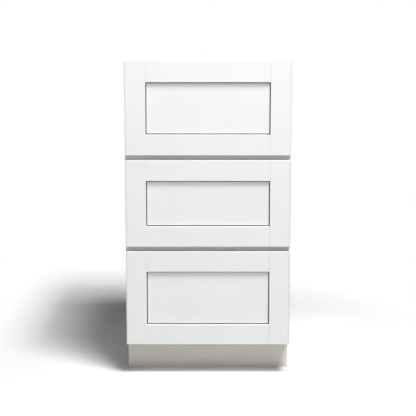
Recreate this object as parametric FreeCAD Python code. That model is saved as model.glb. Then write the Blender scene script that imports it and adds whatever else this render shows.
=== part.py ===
import FreeCAD, Part
import os
from collections import namedtuple

from FreeCAD import Vector

# A vanity drawer base: carcass with face frame and three dovetailed drawers on under-drawer slides.
# Millimetres. The front faces -Y, +X is to the right of someone facing it, +Z is up.
# The origin is on the floor, under the middle of the whole.

# Carcass
cabinet_width = 457.2
cabinet_height = 876.3
cabinet_depth = 533.4
side_thickness = 12.7
deck_thickness = 12.7
back_thickness = 6.35
dado_depth = 6.35
hanging_rail_height = 76.2
hanging_rail_thickness = 12.7
toe_height = 88.9
toe_setback = 76.2
toe_kick_thickness = 12.7

# Face frame, with stub tenons on its rails
frame_thickness = 19.05
frame_stile_width = 38.1
frame_rail_width = 38.1
frame_tenon_length = 12.7
frame_tenon_thickness = 6.35
frame_tenon_shoulder = 6.35

# Corner braces under the countertop
brace_leg = 76.0
brace_wall = 4.0
brace_flange_height = 26.0
brace_drop = 1.0
brace_hole_inset = 24.0
brace_hole_radius = 2.75
brace_flange_share = 0.55

# Drawer fronts: stiles and rails with a groove that holds a rabbeted panel
front_thickness = 19.05
front_side_reveal = 0.8
front_top_reveal = 1.6
front_overhang = 1.9
front_gap = 13.0
top_front_extra = 2.5
middle_front_cut = 13.3
front_member_width = 57.15
front_edge_radius = 1.5
front_arris = 0.4
panel_recess = 6.35
panel_step = 5.15
panel_tongue_thickness = 4.5
panel_groove_depth = 9.5
panel_float = 0.8
panel_shadow_gap = 3.0

# Bumpers on the backs of the fronts
bumper_gap = 1.5
bumper_clearance = 0.3
bumper_radius = 4.0
bumper_bevel = 0.4
bumper_inset = 28.0

# Drawer boxes
box_board = 15.875
box_bottom_thickness = 6.35
box_bottom_recess = 12.7
box_groove_depth = 6.35
box_side_clearance = 5.0
box_under_clearance = 14.0
box_over_clearance = 28.0
box_rear_space = 58.65
box_top_radius = 3.0
dovetail_pitch = 28.0
dovetail_lap = 4.0
dovetail_tip_share = 0.62
dovetail_slope_share = 0.14

# Slides: cabinet channel, telescope and runner, one inside the other
slide_wall = 1.5
slide_clearance = 0.3
slide_foot_gap = 1.0
slide_front_gap = 1.0
channel_flange_height = 36.0
channel_setback = 3.0
channel_overrun = 4.0
channel_hole_radius = 2.6
channel_hole_pitch = 128.0
channel_hole_setback = 9.0
channel_hole_drop = 9.0
runner_width = 24.0
runner_side_gap = 0.6
runner_notch_gap = 1.5

# Rear brackets that carry the channels on the back panel
bracket_plate_height = 46.0
bracket_wall = 4.0
bracket_gusset = 14.0
bracket_plug_length = 24.0
bracket_plug_clearance = 0.3

# Locking clips in front of the runners
clip_width = 30.0
clip_length = 46.0
clip_height = 11.0
clip_waist_share = 0.5
clip_tab_share = 0.6
clip_shoulder_share = 0.42
clip_bevel = 1.2
clip_tab_relief = 4.0
clip_rib_count = 4
clip_rib_pitch = 3.6
clip_rib_width = 1.6
clip_rib_height = 1.2

# Any cut runs past the faces that it opens by this much, and points closer than the touch are one
overrun = 2.0
touch = 0.01

# Depths, from the fronts' faces to the wall
whole_depth = front_thickness + bumper_gap + cabinet_depth
front_y = -whole_depth / 2
front_back_y = front_y + front_thickness
frame_y = front_back_y + bumper_gap
frame_back_y = frame_y + frame_thickness
rear_y = whole_depth / 2
hanging_y = rear_y - hanging_rail_thickness
back_y = hanging_y - back_thickness
toe_y = front_y + toe_setback
notch_y = toe_y + toe_kick_thickness
tongue_y = front_y + panel_recess + panel_step
tongue_back_y = tongue_y + panel_tongue_thickness
box_inner_y = front_back_y + box_board
box_end_y = back_y - box_rear_space
track_y = box_inner_y + slide_front_gap
channel_y = frame_y + channel_setback
channel_end_y = box_end_y + channel_overrun

# Half widths, from the middle outwards
half_width = cabinet_width / 2
side_inner_x = half_width - side_thickness
opening_x = half_width - frame_stile_width
front_x = half_width - front_side_reveal
front_inner_x = front_x - front_member_width
box_x = opening_x - box_side_clearance
box_inner_x = box_x - box_board

# The runner's outside, and inside it the telescope and the channel's track
slide_step = slide_wall + slide_clearance
runner_outer_x = box_inner_x - runner_side_gap
runner_inner_x = runner_outer_x - runner_width
runner_rise = box_under_clearance + box_bottom_recess
track_outer_x = runner_outer_x - 2 * slide_step
track_inner_x = runner_inner_x + 2 * slide_step
track_rise = runner_rise - 2 * slide_step

# Heights of the fronts and of the frame's rails between them
# The fronts share the height alike, but the top one is taller and the middle one shorter than a third
bottom_front_low = toe_height - front_overhang
top_front_high = cabinet_height - front_top_reveal
even_front_height = (top_front_high - bottom_front_low - 2 * front_gap) / 3
top_front_low = top_front_high - even_front_height - top_front_extra
middle_front_high = top_front_low - front_gap
middle_front_low = middle_front_high - even_front_height + middle_front_cut
bottom_front_high = middle_front_low - front_gap
upper_rail_low = top_front_low - front_gap / 2 - frame_rail_width / 2
lower_rail_low = middle_front_low - front_gap / 2 - frame_rail_width / 2
top_rail_low = cabinet_height - frame_rail_width

Drawer = namedtuple("Drawer", "name front_low front_high opening_low opening_high")
drawers = (
    Drawer("top", top_front_low, top_front_high, upper_rail_low + frame_rail_width, top_rail_low),
    Drawer("middle", middle_front_low, middle_front_high, lower_rail_low + frame_rail_width, upper_rail_low),
    Drawer("bottom", bottom_front_low, bottom_front_high, toe_height + frame_rail_width, lower_rail_low),
)


def block(x_range, y_range, z_range):
    corner = Vector(x_range[0], y_range[0], z_range[0])
    size = Vector(x_range[1], y_range[1], z_range[1]) - corner
    return Part.makeBox(size.x, size.y, size.z, corner)


def prism(points, sweep):
    return Part.Face(Part.makePolygon(points + points[:1])).extrude(sweep)


def mirrored(shape):
    return shape.mirror(Vector(0, 0, 0), Vector(1, 0, 0))


def pair(right_piece):
    return [mirrored(right_piece), right_piece]


def save(name, *pieces):
    shape = pieces[0] if len(pieces) == 1 else Part.makeCompound(list(pieces))
    shape.exportStep(os.path.join("parts", name + ".step"))


def side_panel():
    outline = [
        Vector(side_inner_x, notch_y, 0),
        Vector(side_inner_x, rear_y, 0),
        Vector(side_inner_x, rear_y, cabinet_height),
        Vector(side_inner_x, frame_back_y, cabinet_height),
        Vector(side_inner_x, frame_back_y, toe_height),
        Vector(side_inner_x, notch_y, toe_height),
    ]
    panel = prism(outline, Vector(side_thickness, 0, 0))
    return panel.cut(deck_panel()).cut(back_panel())


def deck_panel():
    reach = side_inner_x + dado_depth
    return block((-reach, reach), (frame_back_y, back_y), (toe_height, toe_height + deck_thickness))


def back_panel():
    reach = side_inner_x + dado_depth
    return block((-reach, reach), (back_y, hanging_y), (toe_height, cabinet_height))


def hanging_rail(low):
    return block((-side_inner_x, side_inner_x), (hanging_y, rear_y), (low, low + hanging_rail_height))


def frame_rail(low):
    high = low + frame_rail_width
    tenon_x = opening_x + frame_tenon_length
    tenon_y = frame_y + (frame_thickness - frame_tenon_thickness) / 2
    body = block((-opening_x, opening_x), (frame_y, frame_back_y), (low, high))
    tenons = block(
        (-tenon_x, tenon_x),
        (tenon_y, tenon_y + frame_tenon_thickness),
        (low + frame_tenon_shoulder, high - frame_tenon_shoulder),
    )
    return body.fuse(tenons).removeSplitter()


def frame_stile(rails):
    stile = block((opening_x, half_width), (frame_y, frame_back_y), (toe_height, cabinet_height))
    return stile.cut(rails)


def corner_brace(corner_y, inward):
    """A brace in the right-hand corner at corner_y; inward is +1 towards the wall, -1 towards the front."""
    top = cabinet_height - brace_drop
    reach = [(0, 0), (brace_leg, 0), (brace_leg, brace_wall), (brace_wall, brace_leg), (0, brace_leg)]
    outline = [Vector(side_inner_x - along, corner_y + inward * away, top) for along, away in reach]
    plate = prism(outline, Vector(0, 0, -brace_wall))
    taper = brace_leg * brace_flange_share
    tip = (brace_leg, brace_wall)
    drops = [(0, 0), (brace_leg, 0), tip, (taper, brace_flange_height), (0, brace_flange_height)]
    frame_view = [Vector(side_inner_x - along, corner_y, top - drop) for along, drop in drops]
    side_view = [Vector(side_inner_x, corner_y + inward * along, top - drop) for along, drop in drops]
    frame_flange = prism(frame_view, Vector(0, inward * brace_wall, 0))
    side_flange = prism(side_view, Vector(-brace_wall, 0, 0))
    hole_at = Vector(side_inner_x - brace_hole_inset, corner_y + inward * brace_hole_inset, top + overrun)
    hole = Part.makeCylinder(brace_hole_radius, brace_wall + 2 * overrun, hole_at, Vector(0, 0, -1))
    return plate.fuse([frame_flange, side_flange]).removeSplitter().cut(hole)


def eased_line(start, end):
    """A bar that takes a fine bevel off the edges along a line on the fronts' faces."""
    run = end - start
    across = Vector(front_arris, 0, 0) if run.z else Vector(0, 0, front_arris)
    depth = Vector(0, front_arris, 0)
    return prism([start - across, start - depth, start + across, start + depth], run)


def round_outer_edges(piece, is_outer):
    outer = []
    for edge in piece.Edges:
        on_face = all(vertex.Y < front_y + touch for vertex in edge.Vertexes)
        if on_face and is_outer(edge.CenterOfMass):
            outer.append(edge)
    return piece.makeFillet(front_edge_radius, outer)


def front_groove(z_range):
    """The layer of a front that holds the tongue and stub tenons, as wide as the stiles' grooves reach."""
    reach = front_inner_x + panel_groove_depth
    return block((-reach, reach), (tongue_y, tongue_back_y), z_range)


def front_stile(drawer):
    stile = block((front_inner_x, front_x), (front_y, front_back_y), (drawer.front_low, drawer.front_high))
    stile = round_outer_edges(stile, lambda middle: middle.x > front_inner_x + touch)
    joint_low = Vector(front_inner_x, front_y, drawer.front_low - overrun)
    joint_high = Vector(front_inner_x, front_y, drawer.front_high + overrun)
    groove = front_groove((drawer.front_low - overrun, drawer.front_high + overrun))
    return stile.cut([groove, eased_line(joint_low, joint_high)])


def front_rail(outer_z, inner_z):
    """A rail from its outer edge to the edge that holds the panel, with a stub tenon at each end."""
    span = sorted((outer_z, inner_z))
    body = block((-front_inner_x, front_inner_x), (front_y, front_back_y), span)
    body = round_outer_edges(body, lambda middle: abs(middle.z - outer_z) < touch)
    upward = 1 if outer_z > inner_z else -1
    groove = front_groove(sorted((inner_z - upward * overrun, inner_z + upward * panel_groove_depth)))
    eased = [eased_line(Vector(-front_x, front_y, inner_z), Vector(front_x, front_y, inner_z))]
    for end_x in (-front_inner_x, front_inner_x):
        joint_low = Vector(end_x, front_y, span[0] - overrun)
        joint_high = Vector(end_x, front_y, span[1] + overrun)
        eased.append(eased_line(joint_low, joint_high))
    return body.fuse(front_groove(span)).removeSplitter().cut([groove] + eased)


def front_panel(drawer):
    low = drawer.front_low + front_member_width
    high = drawer.front_high - front_member_width
    tuck = panel_groove_depth - panel_float
    field_x = front_inner_x - panel_shadow_gap
    tongue_x = front_inner_x + tuck
    field = block(
        (-field_x, field_x),
        (front_y + panel_recess, tongue_back_y),
        (low + panel_shadow_gap, high - panel_shadow_gap),
    )
    tongue = block((-tongue_x, tongue_x), (tongue_y, tongue_back_y), (low - tuck, high + tuck))
    return field.fuse(tongue).removeSplitter()


def bumpers(drawer):
    """Four bevelled pads on the back of a front, over the face frame's stiles."""
    height = bumper_gap - bumper_clearance
    stile_x = (opening_x + half_width) / 2
    pads = []
    for z in (drawer.front_low + bumper_inset, drawer.front_high - bumper_inset):
        pad = Part.makeCylinder(bumper_radius, height, Vector(stile_x, front_back_y, z), Vector(0, 1, 0))
        rim = [edge for edge in pad.Edges if edge.BoundBox.YMin > front_back_y + touch]
        pads += pair(pad.makeChamfer(bumper_bevel, rim))
    return pads


def box_levels(drawer):
    return drawer.opening_low + box_under_clearance, drawer.opening_high - box_over_clearance


def tailed_end(low, high, root_y, tip_y):
    """The edge of a box side from low to high, with dovetails that widen from their root to their tip."""
    count = max(1, round((high - low) / dovetail_pitch))
    spacing = (high - low) / count
    half_tip = spacing * dovetail_tip_share / 2
    half_root = half_tip - abs(tip_y - root_y) * dovetail_slope_share
    points = [(root_y, low)]
    for tail in range(count):
        middle = low + spacing * (tail + 0.5)
        points.append((root_y, middle - half_root))
        points.append((tip_y, middle - half_tip))
        points.append((tip_y, middle + half_tip))
        points.append((root_y, middle + half_root))
    return points + [(root_y, high)]


def uncut_box_side(drawer):
    low, high = box_levels(drawer)
    near = tailed_end(low, high, box_inner_y, front_back_y + dovetail_lap)
    far = tailed_end(low, high, box_end_y - box_board, box_end_y - dovetail_lap)
    outline = [Vector(box_inner_x, y, z) for y, z in near + far[::-1]]
    return prism(outline, Vector(box_board, 0, 0))


def rounded_top(side, high):
    long_edges = []
    for edge in side.Edges:
        first, last = edge.Vertexes
        if min(first.Z, last.Z) > high - touch and abs(first.X - last.X) < touch:
            long_edges.append(edge)
    return side.makeFillet(box_top_radius, long_edges)


def box_bottom(drawer):
    low = drawer.opening_low + runner_rise
    reach = box_inner_x + box_groove_depth
    y_range = (box_inner_y - box_groove_depth, box_end_y - box_board + box_groove_depth)
    return block((-reach, reach), y_range, (low, low + box_bottom_thickness))


def runner_notches(drawer):
    low = drawer.opening_low
    x_range = (runner_inner_x - runner_notch_gap, box_inner_x)
    y_range = (box_end_y - box_board - overrun, box_end_y + overrun)
    return pair(block(x_range, y_range, (low, low + runner_rise)))


def bent_sheet(path, y_range):
    """A bent steel profile: the path, as x and z, is one face, and the wall lies on its left."""
    normals = []
    for start, end in zip(path, path[1:]):
        run = end - start
        normals.append(Vector(-run.z, 0, run.x).normalize())
    other_face = []
    for point, before, after in zip(path, normals[:1] + normals, normals + normals[-1:]):
        bisector = before + after
        other_face.append(point + bisector * (2 * slide_wall / bisector.dot(bisector)))
    start = Vector(0, y_range[0], 0)
    outline = [start + point for point in path + other_face[::-1]]
    return prism(outline, Vector(0, y_range[1] - y_range[0], 0))


def slide_hat(drawer, inset, y_range):
    """An upside-down steel channel, as far inside the runner as the inset."""
    foot = drawer.opening_low + slide_wall + slide_foot_gap
    under = drawer.opening_low + runner_rise - inset - slide_wall
    inner_x = runner_inner_x + inset + slide_wall
    outer_x = runner_outer_x - inset - slide_wall
    path = [(inner_x, foot), (inner_x, under), (outer_x, under), (outer_x, foot)]
    return bent_sheet([Vector(x, 0, z) for x, z in path], y_range)


def cabinet_channel(drawer):
    """A track inside the telescope, a web under the box side and a flange against the frame's stile."""
    low = drawer.opening_low
    inner_x = track_inner_x + slide_wall
    outer_x = track_outer_x - slide_wall
    under = low + track_rise - slide_wall
    track = [(inner_x, low), (inner_x, under), (outer_x, under), (outer_x, low)]
    flange = [(opening_x, low), (opening_x, low + channel_flange_height)]
    whole = bent_sheet([Vector(x, 0, z) for x, z in track + flange], (track_y, channel_end_y))
    lead = bent_sheet([Vector(x, 0, z) for x, z in [(outer_x, low)] + flange], (channel_y, track_y))
    channel = whole.fuse(lead).removeSplitter()
    hole_z = low + channel_flange_height - channel_hole_drop
    hole_y = channel_y + channel_hole_setback
    while hole_y < channel_end_y - channel_hole_setback:
        start = Vector(opening_x + overrun, hole_y, hole_z)
        hole = Part.makeCylinder(channel_hole_radius, slide_wall + 2 * overrun, start, Vector(-1, 0, 0))
        channel = channel.cut(hole)
        hole_y += channel_hole_pitch
    return channel


def rear_bracket(drawer):
    low = drawer.opening_low
    arm = low + track_rise
    plate_y = back_y - bracket_wall
    side_view = [
        (channel_end_y, low),
        (back_y, low),
        (back_y, low + bracket_plate_height),
        (plate_y, low + bracket_plate_height),
        (plate_y, arm + bracket_gusset),
        (plate_y - bracket_gusset, arm),
        (channel_end_y, arm),
    ]
    width = opening_x - track_inner_x
    body = prism([Vector(track_inner_x, y, z) for y, z in side_view], Vector(width, 0, 0))
    rib_x = track_inner_x + (width - bracket_wall) / 2
    pocket_y = (channel_end_y + bracket_wall, plate_y)
    pocket_z = (low - overrun, arm - bracket_wall)
    pockets = [
        block((track_inner_x + bracket_wall, rib_x), pocket_y, pocket_z),
        block((rib_x + bracket_wall, opening_x - bracket_wall), pocket_y, pocket_z),
    ]
    plug_inset = slide_wall + bracket_plug_clearance
    plug = block(
        (track_inner_x + plug_inset, track_outer_x - plug_inset),
        (channel_end_y - bracket_plug_length, channel_end_y),
        (low, arm - plug_inset),
    )
    return body.cut(pockets).fuse(plug).removeSplitter()


def locking_clip(drawer):
    """A moulded clip beside the runner, behind the box front, with a thin ribbed thumb tab at its tail."""
    top = drawer.opening_low + runner_rise
    foot = top - clip_height
    tab_under = foot + clip_tab_relief
    tab_x = (runner_inner_x - clip_waist_share * clip_width, runner_inner_x)
    tab_y = box_inner_y + clip_tab_share * clip_length
    tail_y = box_inner_y + clip_length
    plan_shares = [
        (0, 0),
        (1, 0),
        (1, clip_shoulder_share),
        (clip_waist_share, clip_tab_share),
        (clip_waist_share, 1),
        (0, 1),
    ]
    outline = []
    for across_share, along_share in plan_shares:
        x = runner_inner_x - across_share * clip_width
        outline.append(Vector(x, box_inner_y + along_share * clip_length, top))
    clip = prism(outline, Vector(0, 0, -clip_height))
    lower_edges = [edge for edge in clip.Edges if edge.BoundBox.ZMax < foot + touch]
    clip = clip.makeChamfer(clip_bevel, lower_edges)
    clip = clip.cut(block(tab_x, (tab_y, tail_y), (foot, tab_under)))
    ribs = []
    for number in range(1, clip_rib_count + 1):
        rib_y = tail_y - number * clip_rib_pitch
        ribs.append(block(tab_x, (rib_y, rib_y + clip_rib_width), (tab_under - clip_rib_height, tab_under)))
    return clip.fuse(ribs).removeSplitter()


def save_carcass():
    rail_lows = {
        "frame_top_rail": top_rail_low,
        "frame_upper_rail": upper_rail_low,
        "frame_lower_rail": lower_rail_low,
        "frame_bottom_rail": toe_height,
    }
    rails = {name: frame_rail(low) for name, low in rail_lows.items()}
    for name, rail in rails.items():
        save(name, rail)
    stile = frame_stile(list(rails.values()))
    save("frame_right_stile", stile)
    save("frame_left_stile", mirrored(stile))
    panel = side_panel()
    save("right_side_panel", panel)
    save("left_side_panel", mirrored(panel))
    save("deck_panel", deck_panel())
    save("back_panel", back_panel())
    save("upper_hanging_rail", hanging_rail(cabinet_height - hanging_rail_height))
    save("lower_hanging_rail", hanging_rail(toe_height))
    save("toe_kick_board", block((-half_width, half_width), (toe_y, notch_y), (0, toe_height)))
    save("corner_braces", *pair(corner_brace(frame_back_y, 1)), *pair(corner_brace(back_y, -1)))


def save_front(drawer):
    prefix = drawer.name + "_front_"
    stile = front_stile(drawer)
    save(prefix + "right_stile", stile)
    save(prefix + "left_stile", mirrored(stile))
    save(prefix + "upper_rail", front_rail(drawer.front_high, drawer.front_high - front_member_width))
    save(prefix + "lower_rail", front_rail(drawer.front_low, drawer.front_low + front_member_width))
    save(prefix + "panel", front_panel(drawer))
    save(drawer.name + "_bumpers", *bumpers(drawer))


def save_box(drawer):
    prefix = drawer.name + "_box_"
    low, high = box_levels(drawer)
    sides = pair(uncut_box_side(drawer))
    bottom = box_bottom(drawer)
    box_front = block((-box_x, box_x), (front_back_y, box_inner_y), (low, high))
    box_back = block((-box_x, box_x), (box_end_y - box_board, box_end_y), (low, high))
    save(prefix + "front", box_front.cut(sides + [bottom]))
    save(prefix + "back", box_back.cut(sides + [bottom] + runner_notches(drawer)))
    for name, side in zip(("left_side", "right_side"), sides):
        save(prefix + name, rounded_top(side, high).cut(bottom))
    save(prefix + "bottom", bottom)
    save(drawer.name + "_locking_clips", *pair(locking_clip(drawer)))


def save_slides(drawer):
    moving_y = (track_y, box_end_y)
    save(drawer.name + "_runners", *pair(slide_hat(drawer, 0, moving_y)))
    save(drawer.name + "_telescopes", *pair(slide_hat(drawer, slide_step, moving_y)))
    save(drawer.name + "_cabinet_channels", *pair(cabinet_channel(drawer)))


os.makedirs("parts", exist_ok=True)
save_carcass()
brackets = []
for drawer in drawers:
    save_front(drawer)
    save_box(drawer)
    save_slides(drawer)
    brackets += pair(rear_bracket(drawer))
save("slide_rear_brackets", *brackets)
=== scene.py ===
import math

import bmesh
import bpy
from mathutils import Matrix, Vector


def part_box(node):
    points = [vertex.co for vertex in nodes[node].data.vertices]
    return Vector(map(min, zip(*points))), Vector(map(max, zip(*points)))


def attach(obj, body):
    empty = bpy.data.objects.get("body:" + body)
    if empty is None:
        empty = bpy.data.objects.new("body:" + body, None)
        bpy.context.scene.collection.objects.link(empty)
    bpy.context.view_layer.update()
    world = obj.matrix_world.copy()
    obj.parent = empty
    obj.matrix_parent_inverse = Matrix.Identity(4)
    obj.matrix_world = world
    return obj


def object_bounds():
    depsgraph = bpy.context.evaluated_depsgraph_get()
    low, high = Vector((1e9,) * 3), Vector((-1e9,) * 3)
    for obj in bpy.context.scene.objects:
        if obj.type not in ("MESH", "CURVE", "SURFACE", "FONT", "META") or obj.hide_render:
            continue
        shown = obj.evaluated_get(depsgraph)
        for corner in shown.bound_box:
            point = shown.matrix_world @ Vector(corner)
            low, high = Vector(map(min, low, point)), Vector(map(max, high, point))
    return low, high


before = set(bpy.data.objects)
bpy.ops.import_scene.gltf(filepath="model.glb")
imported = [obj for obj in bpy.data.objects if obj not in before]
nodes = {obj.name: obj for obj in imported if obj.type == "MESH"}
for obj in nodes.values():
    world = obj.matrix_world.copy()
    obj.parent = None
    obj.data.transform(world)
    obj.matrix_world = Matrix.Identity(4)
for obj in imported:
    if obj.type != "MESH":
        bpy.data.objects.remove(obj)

cadLow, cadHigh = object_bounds()
drawerNames = ("top", "middle", "bottom")
sides = (-1, 1)  # left and right
mm = 0.001
print("loaded", len(nodes), "nodes")


# small helpers for the finishes

noiseRange = (0.3, 0.7)  # most of a cloud's values lie between these
squareOn = 0.7  # a face looks along an axis if its normal has more of that axis than this
white = (1, 1, 1, 1)


def startFinish(name):
    finish = bpy.data.materials.new(name)
    finish.use_nodes = True
    return finish, finish.node_tree, finish.node_tree.nodes["Principled BSDF"]


def put(tree, kind, sockets, **settings):
    node = tree.nodes.new("ShaderNode" + kind)
    for key, value in settings.items():
        setattr(node, key, value)
    for key, value in sockets.items():
        if isinstance(value, bpy.types.NodeSocket):
            tree.links.new(value, node.inputs[key])
        else:
            node.inputs[key].default_value = value
    return node


def objectPoint(tree, scale=(1, 1, 1), place=(0, 0, 0)):
    coordinates = put(tree, "TexCoord", {})
    sockets = {"Vector": coordinates.outputs["Object"], "Scale": scale, "Location": place}
    return put(tree, "Mapping", sockets).outputs["Vector"]


def cloud(tree, point, scale, detail=2.0):
    return put(tree, "TexNoise", {"Vector": point, "Scale": scale, "Detail": detail}).outputs["Fac"]


def sums(tree, operation, first, second):
    return put(tree, "Math", {0: first, 1: second}, operation=operation).outputs["Value"]


def absolute(tree, value):
    return sums(tree, "ABSOLUTE", value, 0.0)


def spread(tree, value, fromLow, fromHigh, toLow, toHigh):
    source = {"Value": value, "From Min": fromLow, "From Max": fromHigh}
    target = {"To Min": toLow, "To Max": toHigh}
    return put(tree, "MapRange", {**source, **target}).outputs["Result"]


def tones(tree, value, stops):
    node = put(tree, "ValToRGB", {"Fac": value})
    places = node.color_ramp.elements
    for element, (place, colour) in zip(places, (stops[0], stops[-1])):
        element.position = place
        element.color = (*colour, 1)
    for place, colour in stops[1:-1]:
        places.new(place).color = (*colour, 1)
    return node.outputs["Color"]


def blendTones(tree, share, first, second, how="MIX"):
    sockets = {0: share, 6: first, 7: second}  # by number, because this node's socket names repeat
    return put(tree, "Mix", sockets, data_type="RGBA", blend_type=how).outputs[2]


def tint(tree, shader, tone):
    tree.links.new(tone, shader.inputs["Base Color"])


def roughen(tree, shader, value, limits):
    tree.links.new(spread(tree, value, *noiseRange, *limits), shader.inputs["Roughness"])


def relief(tree, shader, height, strength, depth):
    node = put(tree, "Bump", {"Height": height, "Strength": strength, "Distance": depth})
    tree.links.new(node.outputs["Normal"], shader.inputs["Normal"])


def dress(finish, *names):
    for name in names:
        for slot in nodes[name].material_slots:
            slot.material = finish


# painted faces

satinWhite = {
    "tones": ((0.35, (0.846, 0.847, 0.849)), (0.65, (0.866, 0.867, 0.869))),
    "mottle": 7.0,
    "sheen": 60.0,
    "roughness": (0.36, 0.46),
    "peel": 850.0,
    "peelStrength": 0.25,
    "peelDepth": 0.05 * mm,
}


def paintTone(tree):
    mottle = cloud(tree, objectPoint(tree), satinWhite["mottle"], detail=4.0)
    return tones(tree, mottle, satinWhite["tones"])


def paintSheen(tree, shader):
    point = objectPoint(tree)
    roughen(tree, shader, cloud(tree, point, satinWhite["sheen"]), satinWhite["roughness"])
    peel = cloud(tree, point, satinWhite["peel"])
    relief(tree, shader, peel, satinWhite["peelStrength"], satinWhite["peelDepth"])


def makeSatinWhite():
    finish, tree, shader = startFinish("satinWhite")
    tint(tree, shader, paintTone(tree))
    paintSheen(tree, shader)
    return finish


# the fronts' edges: a dark joint line between stile and rail, a painted highlight (a lighter band)
# round the recess, painted shade on the upper edges in the gaps, and painted shade darkening the outer
# sides and the top;
# pairs are where a band is full and where it ends
frontEdges = {
    "joint": (0.25 * mm, 0.7 * mm),
    "jointTone": (0.63, 0.627, 0.623, 1),
    "leftJoint": 0.4,  # the joint lines are drawn fainter on the left
    "paintedHighlight": (1.3 * mm, 2.6 * mm),
    "paintedHighlightDepth": (0.5 * mm, 1.2 * mm),
    "paintedHighlightTone": (0.94, 0.941, 0.943, 1),
    "gapShade": (0.1 * mm, 0.3 * mm),
    "gapShadeTone": (0.66, 0.657, 0.653, 1),
    "rim": 5.4 * mm,
    "edgeShadeTone": (0.69, 0.69, 0.69, 1),
}
# painted shade: the groove round the panel is darkened between the fade and the floor, standing in for
# the shade deep in the slot
groove = {
    "width": 3.0 * mm,
    "fade": (7.0 * mm, 9.0 * mm),
    "floor": 12.0 * mm,
    "tone": (0.11, 0.108, 0.106, 1),
}


def recessEdges(tree, drawer, place):
    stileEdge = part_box(drawer + "_front_right_stile")[0].x
    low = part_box(drawer + "_front_lower_rail")[1].z
    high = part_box(drawer + "_front_upper_rail")[0].z
    aside = sums(tree, "SUBTRACT", absolute(tree, place.outputs["X"]), stileEdge)
    fromMiddle = sums(tree, "SUBTRACT", place.outputs["Z"], (low + high) / 2)
    above = sums(tree, "SUBTRACT", absolute(tree, fromMiddle), (high - low) / 2)
    return aside, sums(tree, "MAXIMUM", aside, above)


def paintedGrooveShade(tree, place):
    depth = sums(tree, "SUBTRACT", place.outputs["Y"], cadLow.y)
    pastFace = spread(tree, depth, *groove["fade"], 0.0, 1.0)
    return sums(tree, "MULTIPLY", pastFace, sums(tree, "LESS_THAN", depth, groove["floor"]))


def makeFrontWhite(drawer):
    finish, tree, shader = startFinish("frontWhite_" + drawer)
    place = put(tree, "SeparateXYZ", {"Vector": objectPoint(tree)})
    aside, outside = recessEdges(tree, drawer, place)
    # painted highlight: a lighter band on the face round the recess, where light would catch the eased
    # edge
    nearRecess = spread(tree, outside, *frontEdges["paintedHighlight"], 1.0, 0.0)
    shallow, deep = frontEdges["paintedHighlightDepth"]
    onFace = spread(tree, place.outputs["Y"], cadLow.y + shallow, cadLow.y + deep, 1.0, 0.0)
    paintedHighlight = sums(tree, "MULTIPLY", nearRecess, onFace)
    coat = blendTones(tree, paintedHighlight, paintTone(tree), frontEdges["paintedHighlightTone"])
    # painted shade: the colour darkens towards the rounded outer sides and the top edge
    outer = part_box("top_front_right_stile")[1]
    fromSide = sums(tree, "SUBTRACT", outer.x, absolute(tree, place.outputs["X"]))
    fromTop = sums(tree, "SUBTRACT", outer.z, place.outputs["Z"])
    rim = spread(tree, sums(tree, "MINIMUM", fromSide, fromTop), 0.0, frontEdges["rim"], 1.0, 0.0)
    coat = blendTones(tree, rim, coat, frontEdges["edgeShadeTone"])
    if drawer != "top":  # its upper edge is in no gap
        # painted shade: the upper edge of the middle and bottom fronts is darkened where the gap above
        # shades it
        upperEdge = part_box(drawer + "_front_right_stile")[1].z
        below = sums(tree, "SUBTRACT", upperEdge, place.outputs["Z"])
        inGapShade = spread(tree, below, *frontEdges["gapShade"], 1.0, 0.0)
        coat = blendTones(tree, inGapShade, coat, frontEdges["gapShadeTone"])
    inJoint = spread(tree, absolute(tree, aside), *frontEdges["joint"], 1.0, 0.0)
    onLeft = sums(tree, "LESS_THAN", place.outputs["X"], 0.0)
    jointShare = spread(tree, onLeft, 0.0, 1.0, 1.0, frontEdges["leftJoint"])
    coat = blendTones(tree, sums(tree, "MULTIPLY", inJoint, jointShare), coat, frontEdges["jointTone"])
    # painted shade on the walls deep in the groove
    onWall = spread(tree, outside, *frontEdges["joint"], 1.0, 0.0)
    grooveShadeOnWall = sums(tree, "MULTIPLY", onWall, paintedGrooveShade(tree, place))
    tint(tree, shader, blendTones(tree, grooveShadeOnWall, coat, groove["tone"]))
    paintSheen(tree, shader)
    return finish


def makePanelWhite(drawer):
    finish, tree, shader = startFinish("panelWhite_" + drawer)
    place = put(tree, "SeparateXYZ", {"Vector": objectPoint(tree)})
    outside = recessEdges(tree, drawer, place)[1]
    full, end = frontEdges["paintedHighlight"]
    # painted highlight: a lighter band round the panel's field
    paintedHighlight = spread(tree, outside, -groove["width"] - end, -groove["width"] - full, 0.0, 1.0)
    coat = blendTones(tree, paintedHighlight, paintTone(tree), frontEdges["paintedHighlightTone"])
    # painted shade on the panel's tongue deep in the groove
    tint(tree, shader, blendTones(tree, paintedGrooveShade(tree, place), coat, groove["tone"]))
    paintSheen(tree, shader)
    return finish


toeKick = {
    "tones": ((0.3, (0.82, 0.785, 0.75)), (0.7, (0.86, 0.83, 0.795))),
    "stretch": (0.25, 1, 1),
    "mottle": 30.0,
    "sheen": 90.0,
    "roughness": (0.5, 0.64),
    "grit": 700.0,
    "gritStrength": 0.3,
    "gritDepth": 0.08 * mm,
}


def makeToeKick():
    finish, tree, shader = startFinish("toeKickGrey")
    point = objectPoint(tree, toeKick["stretch"])
    tint(tree, shader, tones(tree, cloud(tree, point, toeKick["mottle"], detail=5.0), toeKick["tones"]))
    roughen(tree, shader, cloud(tree, point, toeKick["sheen"]), toeKick["roughness"])
    grit = cloud(tree, point, toeKick["grit"])
    relief(tree, shader, grit, toeKick["gritStrength"], toeKick["gritDepth"])
    return finish


# wood: along and through are axes by number, the grain's and the one across the thickness

def perAxis(along, across, lengthwise):
    values = [across, across, across]
    values[along] = lengthwise
    return values


def facing(tree, axis):
    normal = put(tree, "TexCoord", {}).outputs["Normal"]
    part = put(tree, "SeparateXYZ", {"Vector": normal}).outputs[axis]
    return sums(tree, "GREATER_THAN", absolute(tree, part), squareOn)


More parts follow.
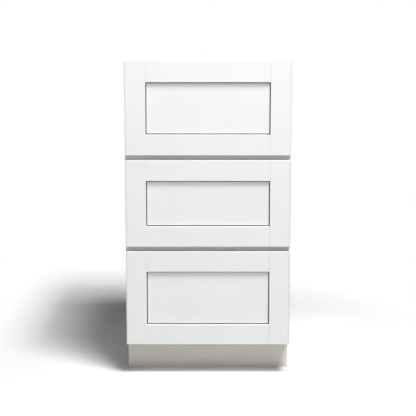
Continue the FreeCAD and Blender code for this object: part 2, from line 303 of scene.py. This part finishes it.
# maple boards: growth rings round a pith beside each board, fibres along it, and darker end grain
maple = {
    "rings": (
        (0.0, (0.76, 0.585, 0.375)),
        (0.7, (0.715, 0.53, 0.325)),
        (0.93, (0.635, 0.445, 0.255)),
        (1.0, (0.745, 0.565, 0.36)),
    ),
    "ringWidth": 5.5 * mm,
    "pith": 0.07,
    "tilt": 0.03,
    "waver": 0.022,
    "waverScale": 9.0,
    "waverStretch": 0.22,
    "fibres": 800.0,
    "fibreStretch": 0.03,
    "fibreTones": ((0.3, (0.86, 0.84, 0.82)), (0.7, (1.0, 1.0, 1.0))),
    "fibreShare": 0.6,
    "fibreStrength": 0.2,
    "fibreDepth": 0.06 * mm,
    "endTone": (0.70, 0.66, 0.62, 1),
    "roughness": (0.34, 0.5),
}


def mapleRings(tree, name, along):
    low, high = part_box(name)
    sockets = {
        "Vector": objectPoint(tree, place=-(low + high) / 2),
        "Rotation": perAxis(along, maple["tilt"], 0.0),
        "Location": perAxis(along, maple["pith"], 0.0),
    }
    turned = put(tree, "Mapping", sockets).outputs["Vector"]
    flat = put(tree, "VectorMath", {0: turned, 1: perAxis(along, 1.0, 0.0)}, operation="MULTIPLY")
    reach = put(tree, "VectorMath", {0: flat.outputs["Vector"]}, operation="LENGTH").outputs["Value"]
    drawnOut = objectPoint(tree, perAxis(along, 1.0, maple["waverStretch"]))
    drift = cloud(tree, drawnOut, maple["waverScale"], detail=3.0)
    wavered = sums(tree, "ADD", reach, sums(tree, "MULTIPLY", drift, maple["waver"]))
    return sums(tree, "FRACT", sums(tree, "DIVIDE", wavered, maple["ringWidth"]), 0.0)


def makeMapleBoard(name, along):
    finish, tree, shader = startFinish("drawerMaple_" + name)
    ringTone = tones(tree, mapleRings(tree, name, along), maple["rings"])
    drawnOut = objectPoint(tree, perAxis(along, 1.0, maple["fibreStretch"]))
    fibres = cloud(tree, drawnOut, maple["fibres"], detail=3.0)
    fibreTone = tones(tree, fibres, maple["fibreTones"])
    longGrain = blendTones(tree, maple["fibreShare"], ringTone, fibreTone, "MULTIPLY")
    endGrain = blendTones(tree, 1.0, longGrain, maple["endTone"], "MULTIPLY")
    tint(tree, shader, blendTones(tree, facing(tree, along), longGrain, endGrain))
    roughen(tree, shader, fibres, maple["roughness"])
    relief(tree, shader, fibres, maple["fibreStrength"], maple["fibreDepth"])
    return finish


# birch plywood: contours of a slow swell on the faces, and plies that turn light and dark on the edges
birchPly = {
    "face": (
        (0.0, (0.705, 0.545, 0.355)),
        (0.5, (0.74, 0.585, 0.395)),
        (0.82, (0.70, 0.535, 0.345)),
        (0.95, (0.625, 0.46, 0.285)),
        (1.0, (0.705, 0.545, 0.355)),
    ),
    "swell": 6.0,
    "swellStretch": 0.14,
    "contours": 17.0,
    "fibres": 750.0,
    "fibreStretch": 0.025,
    "fibreTones": ((0.3, (0.86, 0.84, 0.81)), (0.7, (1.0, 1.0, 1.0))),
    "fibreShare": 0.7,
    "fibreStrength": 0.2,
    "fibreDepth": 0.06 * mm,
    "plies": (
        (0.0, (0.33, 0.21, 0.115)),
        (0.06, (0.66, 0.50, 0.32)),
        (0.48, (0.64, 0.48, 0.30)),
        (0.52, (0.36, 0.235, 0.135)),
        (0.58, (0.47, 0.325, 0.195)),
        (0.95, (0.44, 0.30, 0.18)),
        (1.0, (0.33, 0.21, 0.115)),
    ),
    "plyPairs": 4.5,
    "speckle": 900.0,
    "speckleTones": ((0.3, (0.8, 0.78, 0.75)), (0.7, (1.0, 1.0, 1.0))),
    "speckleShare": 0.8,
    "paintDepth": 0.4 * mm,
    "roughness": (0.42, 0.58),
}


def plyFace(tree, fibres, along, low):
    drawnOut = objectPoint(tree, perAxis(along, 1.0, birchPly["swellStretch"]), -low)
    swell = cloud(tree, drawnOut, birchPly["swell"], detail=3.0)
    contour = sums(tree, "FRACT", sums(tree, "MULTIPLY", swell, birchPly["contours"]), 0.0)
    fibreTone = tones(tree, fibres, birchPly["fibreTones"])
    figure = tones(tree, contour, birchPly["face"])
    return blendTones(tree, birchPly["fibreShare"], figure, fibreTone, "MULTIPLY")


def plyEdge(tree, place, low, high):
    layer = spread(tree, place, low, high, 0.0, birchPly["plyPairs"])
    plies = tones(tree, sums(tree, "FRACT", layer, 0.0), birchPly["plies"])
    speckle = cloud(tree, objectPoint(tree), birchPly["speckle"])
    speckleTone = tones(tree, speckle, birchPly["speckleTones"])
    return blendTones(tree, birchPly["speckleShare"], plies, speckleTone, "MULTIPLY")


def makeBirchPly(name, along, through, paintedSide=0):
    finish, tree, shader = startFinish("birchPly_" + name)
    low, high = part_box(name)
    drawnOut = objectPoint(tree, perAxis(along, 1.0, birchPly["fibreStretch"]))
    fibres = cloud(tree, drawnOut, birchPly["fibres"])
    place = put(tree, "SeparateXYZ", {"Vector": objectPoint(tree)}).outputs[through]
    edge = plyEdge(tree, place, low[through], high[through])
    surface = blendTones(tree, facing(tree, through), edge, plyFace(tree, fibres, along, low))
    if paintedSide:
        outer = max(abs(low[through]), abs(high[through])) - birchPly["paintDepth"]
        shown = sums(tree, "GREATER_THAN", sums(tree, "MULTIPLY", place, float(paintedSide)), outer)
        surface = blendTones(tree, shown, surface, paintTone(tree))
    tint(tree, shader, surface)
    roughen(tree, shader, fibres, birchPly["roughness"])
    relief(tree, shader, fibres, birchPly["fibreStrength"], birchPly["fibreDepth"])
    return finish


# steel, plastic and rubber

zincSteel = {
    "spangle": ((0.2, (0.56, 0.575, 0.595)), (0.8, (0.68, 0.69, 0.705))),
    "cells": 160.0,
    "cellStretch": (1, 0.5, 1),
    "streak": 500.0,
    "streakStretch": (1, 0.02, 1),
    "streakStrength": 0.15,
    "streakDepth": 0.03 * mm,
    "roughness": (0.28, 0.44),
}


def makeZincSteel():
    finish, tree, shader = startFinish("zincSteel")
    shader.inputs["Metallic"].default_value = 1.0
    drawnOut = objectPoint(tree, zincSteel["cellStretch"])
    cells = put(tree, "TexVoronoi", {"Vector": drawnOut, "Scale": zincSteel["cells"]})
    shade = put(tree, "RGBToBW", {"Color": cells.outputs["Color"]}).outputs["Val"]
    tint(tree, shader, tones(tree, shade, zincSteel["spangle"]))
    rolled = objectPoint(tree, zincSteel["streakStretch"])
    streaks = cloud(tree, rolled, zincSteel["streak"], detail=3.0)
    roughen(tree, shader, streaks, zincSteel["roughness"])
    relief(tree, shader, streaks, zincSteel["streakStrength"], zincSteel["streakDepth"])
    return finish


platedScrew = {
    "tones": ((0.3, (0.58, 0.575, 0.56)), (0.7, (0.7, 0.695, 0.68))),
    "mottle": 240.0,
    "sheen": 1500.0,
    "roughness": (0.25, 0.42),
    "grain": 2200.0,
    "grainStrength": 0.12,
    "grainDepth": 0.03 * mm,
}


def makeScrewSteel():
    finish, tree, shader = startFinish("screwSteel")
    shader.inputs["Metallic"].default_value = 1.0
    point = objectPoint(tree)
    tint(tree, shader, tones(tree, cloud(tree, point, platedScrew["mottle"]), platedScrew["tones"]))
    roughen(tree, shader, cloud(tree, point, platedScrew["sheen"]), platedScrew["roughness"])
    grain = cloud(tree, point, platedScrew["grain"])
    relief(tree, shader, grain, platedScrew["grainStrength"], platedScrew["grainDepth"])
    return finish


greyPlastic = {
    "tones": ((0.35, (0.20, 0.205, 0.21)), (0.65, (0.235, 0.24, 0.245))),
    "mottle": 45.0,
    "spark": 1400.0,
    "sparkStrength": 0.35,
    "sparkDepth": 0.06 * mm,
    "roughness": (0.46, 0.62),
}


def makeGreyPlastic():
    finish, tree, shader = startFinish("greyPlastic")
    point = objectPoint(tree)
    mottle = cloud(tree, point, greyPlastic["mottle"], detail=3.0)
    tint(tree, shader, tones(tree, mottle, greyPlastic["tones"]))
    spark = cloud(tree, point, greyPlastic["spark"], detail=1.0)
    roughen(tree, shader, spark, greyPlastic["roughness"])
    relief(tree, shader, spark, greyPlastic["sparkStrength"], greyPlastic["sparkDepth"])
    return finish


clearRubber = {
    "tones": ((0.3, (0.88, 0.89, 0.88)), (0.7, (0.94, 0.95, 0.94))),
    "clearness": 0.3,
    "refraction": 1.49,
    "mottle": 300.0,
    "sheen": 900.0,
    "roughness": (0.22, 0.36),
    "grain": 1200.0,
    "grainStrength": 0.15,
    "grainDepth": 0.03 * mm,
}


def makeClearRubber():
    finish, tree, shader = startFinish("clearRubber")
    shader.inputs["Transmission Weight"].default_value = clearRubber["clearness"]
    shader.inputs["IOR"].default_value = clearRubber["refraction"]
    point = objectPoint(tree)
    tint(tree, shader, tones(tree, cloud(tree, point, clearRubber["mottle"]), clearRubber["tones"]))
    roughen(tree, shader, cloud(tree, point, clearRubber["sheen"]), clearRubber["roughness"])
    grain = cloud(tree, point, clearRubber["grain"])
    relief(tree, shader, grain, clearRubber["grainStrength"], clearRubber["grainDepth"])
    return finish


paint = makeSatinWhite()
steel = makeZincSteel()
screwSteel = makeScrewSteel()
plastic = makeGreyPlastic()
rubber = makeClearRubber()
dress(makeToeKick(), "toe_kick_board")
dress(paint, *[name for name in nodes if name.startswith("frame_")])
dress(plastic, "corner_braces", "slide_rear_brackets")
x, y, z = range(3)  # axes by number
for side, name in zip(sides, ("left_side_panel", "right_side_panel")):
    dress(makeBirchPly(name, z, x, side), name)
dress(makeBirchPly("deck_panel", x, z), "deck_panel")
dress(makeBirchPly("back_panel", z, y), "back_panel")
for name in ("upper_hanging_rail", "lower_hanging_rail"):
    dress(makeBirchPly(name, x, y), name)
for drawer in drawerNames:
    frontPaint = makeFrontWhite(drawer)
    for member in ("left_stile", "right_stile", "upper_rail", "lower_rail"):
        dress(frontPaint, drawer + "_front_" + member)
    dress(makePanelWhite(drawer), drawer + "_front_panel")
    for board, along in (("front", x), ("back", x), ("left_side", y), ("right_side", y)):
        name = drawer + "_box_" + board
        dress(makeMapleBoard(name, along), name)
    dress(makeBirchPly(drawer + "_box_bottom", y, z), drawer + "_box_bottom")
    dress(steel, drawer + "_cabinet_channels", drawer + "_telescopes", drawer + "_runners")
    dress(plastic, drawer + "_locking_clips")
    dress(rubber, drawer + "_bumpers")
print("finishes on every node")


# screws: a domed pan head with a cross recess, seated on what it holds

screwHead = {
    "radius": 3.8 * mm,
    "rim": 0.9 * mm,
    "dome": 1.0 * mm,
    "cells": 9,
    "arm": 0.6,  # the recess's arms, as shares of the head
    "slot": 0.12,
    "recess": 1.0 * mm,
    "taper": 0.72,
}


def unique(items):
    return list(dict.fromkeys(items))


def corners(parts):
    return [part for part in parts if isinstance(part, bmesh.types.BMVert)]


def addScrew(work, place, outward):
    cells = screwHead["cells"]
    made = bmesh.ops.create_grid(work, x_segments=cells, y_segments=cells, size=1.0)["verts"]
    arms = []
    for face in unique(face for vert in made for face in vert.link_faces):
        centre = face.calc_center_median()
        across, along = sorted((abs(centre.x), abs(centre.y)))
        if across < screwHead["slot"] and along < screwHead["arm"]:
            arms.append(face)
    for vert in made:  # the square grid becomes a dome
        u, v = vert.co.x, vert.co.y
        vert.co.x = u * math.sqrt(1 - v * v / 2) * screwHead["radius"]
        vert.co.y = v * math.sqrt(1 - u * u / 2) * screwHead["radius"]
        reach = vert.co.length / screwHead["radius"]
        vert.co.z = screwHead["rim"] + screwHead["dome"] * (1 - reach * reach)
    sunk = corners(bmesh.ops.extrude_face_region(work, geom=arms)["geom"])
    bmesh.ops.scale(work, vec=(screwHead["taper"], screwHead["taper"], 1), verts=sunk)
    bmesh.ops.translate(work, vec=(0, 0, -screwHead["recess"]), verts=sunk)
    border = unique(edge for vert in made for edge in vert.link_edges if edge.is_boundary)
    foot = corners(bmesh.ops.extrude_edge_only(work, edges=border)["geom"])
    for vert in foot:
        vert.co.z = 0.0
    bmesh.ops.holes_fill(work, edges=unique(edge for vert in foot for edge in vert.link_edges), sides=0)
    turn = Vector((0, 0, 1)).rotation_difference(outward).to_matrix().to_4x4()
    bmesh.ops.transform(work, matrix=Matrix.Translation(place) @ turn, verts=made + sunk + foot)


def makeScrews(name, body, seats):
    work = bmesh.new()
    for place, outward in seats:
        addScrew(work, Vector(place), Vector(outward))
    bmesh.ops.recalc_face_normals(work, faces=work.faces)
    mesh = bpy.data.meshes.new(name)
    work.to_mesh(mesh)
    work.free()
    mesh.materials.append(screwSteel)
    piece = bpy.data.objects.new(name, mesh)
    bpy.context.scene.collection.objects.link(piece)
    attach(piece, body)


# each seat is a place and the way that the head faces

frontScrews = {"aside": 95 * mm, "low": 50 * mm, "high": 28 * mm}


def frontSeats(drawer):
    low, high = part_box(drawer + "_box_front")
    seats = []
    for side in sides:
        for level in (low.z + frontScrews["low"], high.z - frontScrews["high"]):
            seats.append(((side * frontScrews["aside"], high.y, level), (0, 1, 0)))
    return seats


clipScrews = {"aside": (122 * mm, 138 * mm), "back": 8 * mm}


def clipSeats(drawer):
    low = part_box(drawer + "_locking_clips")[0]
    seats = []
    for side in sides:
        for aside in clipScrews["aside"]:
            seats.append(((side * aside, low.y + clipScrews["back"], low.z), (0, 0, -1)))
    return seats


channelScrews = {"back": 9 * mm, "drop": 9 * mm, "wall": 1.5 * mm}


def channelSeats(drawer):
    low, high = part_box(drawer + "_cabinet_channels")
    seats = []
    for side in sides:
        flange = side * (high.x - channelScrews["wall"])
        place = (flange, low.y + channelScrews["back"], high.z - channelScrews["drop"])
        seats.append((place, (-side, 0, 0)))
    return seats


bracketScrews = {"aside": (158 * mm, 181 * mm), "plate": 46 * mm, "drop": 4.4 * mm, "wall": 4 * mm}


def bracketSeats(drawer):
    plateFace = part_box("back_panel")[0].y - bracketScrews["wall"]
    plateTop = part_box(drawer + "_cabinet_channels")[0].z + bracketScrews["plate"]
    seats = []
    for side in sides:
        for aside in bracketScrews["aside"]:
            seats.append(((side * aside, plateFace, plateTop - bracketScrews["drop"]), (0, -1, 0)))
    return seats


braceScrews = {"along": (16 * mm, 34 * mm), "drop": 15 * mm, "wall": 4 * mm}


def braceSeats():
    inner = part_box("right_side_panel")[0].x
    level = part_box("corner_braces")[1].z - braceScrews["drop"]
    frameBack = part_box("frame_top_rail")[1].y
    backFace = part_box("back_panel")[0].y
    seats = []
    for corner, inward in ((frameBack, 1), (backFace, -1)):
        for side in sides:
            for along in braceScrews["along"]:
                onFrame = (side * (inner - along), corner + inward * braceScrews["wall"], level)
                onSide = (side * (inner - braceScrews["wall"]), corner + inward * along, level)
                seats.append((onFrame, (0, inward, 0)))
                seats.append((onSide, (-side, 0, 0)))
    return seats


onChannels = []
onBrackets = []
for drawer in drawerNames:
    makeScrews(drawer + "_front_screws", drawer + "_drawer", frontSeats(drawer))
    makeScrews(drawer + "_clip_screws", drawer + "_drawer", clipSeats(drawer))
    onChannels += channelSeats(drawer)
    onBrackets += bracketSeats(drawer)
makeScrews("channel_screws", "cabinet", onChannels)
makeScrews("bracket_screws", "cabinet", onBrackets)
makeScrews("brace_screws", "cabinet", braceSeats())
print("screws in place")


# floor, light and camera

# the shadow fades into white, sooner to the sides than to the back, and sooner on the right
floorPlan = {
    "half": 20.0,
    "cells": 8,
    "sideFade": (0.52, 0.71),
    "backFade": (0.87, 1.29),
    "rightHaste": 0.93,
    "tones": ((0.3, (0.94, 0.94, 0.94)), (0.7, (0.96, 0.96, 0.96))),
    "mottle": 3.0,
    "bounceTone": (0.62, 0.62, 0.62, 1),
    "roughness": 0.9,
}


def seenDirectly(tree):
    path = put(tree, "LightPath", {})
    mirrored = sums(tree, "MAXIMUM", path.outputs["Is Glossy Ray"], path.outputs["Is Transmission Ray"])
    return sums(tree, "MAXIMUM", path.outputs["Is Camera Ray"], mirrored)


def makeFloorFinish():
    finish, tree, shader = startFinish("paleFloor")
    point = objectPoint(tree)
    pale = tones(tree, cloud(tree, point, floorPlan["mottle"]), floorPlan["tones"])
    seen = seenDirectly(tree)
    tint(tree, shader, blendTones(tree, seen, floorPlan["bounceTone"], pale))
    shader.inputs["Roughness"].default_value = floorPlan["roughness"]
    shader.inputs["Specular IOR Level"].default_value = 0.0
    place = put(tree, "SeparateXYZ", {"Vector": point})
    onRight = sums(tree, "MAXIMUM", place.outputs["X"], 0.0)
    hastened = sums(tree, "MULTIPLY", onRight, floorPlan["rightHaste"])
    back = sums(tree, "ADD", absolute(tree, place.outputs["Y"]), hastened)
    nearSides = spread(tree, absolute(tree, place.outputs["X"]), *floorPlan["sideFade"], 1.0, 0.0)
    nearBack = spread(tree, back, *floorPlan["backFade"], 1.0, 0.0)
    away = sums(tree, "SUBTRACT", 1.0, sums(tree, "MULTIPLY", nearSides, nearBack))
    glow = put(tree, "Emission", {"Color": white, "Strength": 1.0})
    both = put(tree, "MixShader", {0: sums(tree, "MULTIPLY", away, seen)})
    tree.links.new(shader.outputs["BSDF"], both.inputs[1])
    tree.links.new(glow.outputs["Emission"], both.inputs[2])
    tree.links.new(both.outputs["Shader"], tree.nodes["Material Output"].inputs["Surface"])
    return finish


def makeFloor():
    work = bmesh.new()
    cells = floorPlan["cells"]
    bmesh.ops.create_grid(work, x_segments=cells, y_segments=cells, size=floorPlan["half"])
    mesh = bpy.data.meshes.new("floor")
    work.to_mesh(mesh)
    work.free()
    mesh.materials.append(makeFloorFinish())
    floor = bpy.data.objects.new("floor", mesh)
    bpy.context.scene.collection.objects.link(floor)
    return floor


def leaveOut(item):
    group = bpy.data.collections.new("unlit_" + item.name)
    group.objects.link(item)
    group.collection_objects[0].light_linking.link_state = "EXCLUDE"
    return group


worldLight = {"ambient": 0.141}


def makeWorld():
    world = bpy.data.worlds.new("studio")
    bpy.context.scene.world = world
    world.use_nodes = True
    tree = world.node_tree
    soft = tree.nodes["Background"]
    soft.inputs["Strength"].default_value = worldLight["ambient"]
    soft.inputs["Color"].default_value = white
    backdrop = put(tree, "Background", {"Color": white, "Strength": 1.0})
    both = put(tree, "MixShader", {0: seenDirectly(tree)})
    tree.links.new(soft.outputs["Background"], both.inputs[1])
    tree.links.new(backdrop.outputs["Background"], both.inputs[2])
    tree.links.new(both.outputs["Shader"], tree.nodes["World Output"].inputs["Surface"])


# a high soft key from the right makes the shadow; the three fills leave the floor alone
lampAim = Vector((0, -0.1, 0.4))
lamps = {
    "key": {"place": (0.95, -1.7, 4.3), "size": 1.5, "power": 184.0, "onFloor": True},
    "front": {"place": (0.55, -1.6, 2.6), "size": 1.3, "power": 19.5, "onFloor": True},
    "frontFill": {"place": (-0.4, -3.2, 1.4), "size": 1.6, "power": 9.6, "onFloor": False},
    "leftFill": {"place": (-3.0, 0.7, 1.8), "size": 2.0, "power": 48.0, "onFloor": False},
    "backFill": {"place": (0.7, 3.2, 1.9), "size": 2.0, "power": 62.0, "onFloor": False},
}


def makeLamp(name, darkFloor):
    lamp = lamps[name]
    light = bpy.data.lights.new(name, "AREA")
    light.shape = "DISK"
    light.size = lamp["size"]
    light.energy = lamp["power"]
    item = bpy.data.objects.new(name, light)
    item.location = lamp["place"]
    item.rotation_euler = (lampAim - Vector(lamp["place"])).to_track_quat("-Z", "Y").to_euler()
    if not lamp["onFloor"]:
        item.light_linking.receiver_collection = darkFloor
        light.cycles.max_bounces = 0
    bpy.context.scene.collection.objects.link(item)


cameraPlan = {"place": (0, -3.2, 0.8738), "tilt": 7.8, "lens": 92.66, "sensor": 36.0}


def makeCamera():
    camera = bpy.data.cameras.new("camera")
    camera.lens = cameraPlan["lens"]
    camera.sensor_width = cameraPlan["sensor"]
    item = bpy.data.objects.new("camera", camera)
    item.location = cameraPlan["place"]
    item.rotation_euler = (math.radians(90 - cameraPlan["tilt"]), 0, 0)
    bpy.context.scene.collection.objects.link(item)
    bpy.context.scene.camera = item


darkFloor = leaveOut(makeFloor())
makeWorld()
for name in lamps:
    makeLamp(name, darkFloor)
makeCamera()
bpy.context.scene.view_settings.view_transform = "Standard"
print("floor, light and camera set")
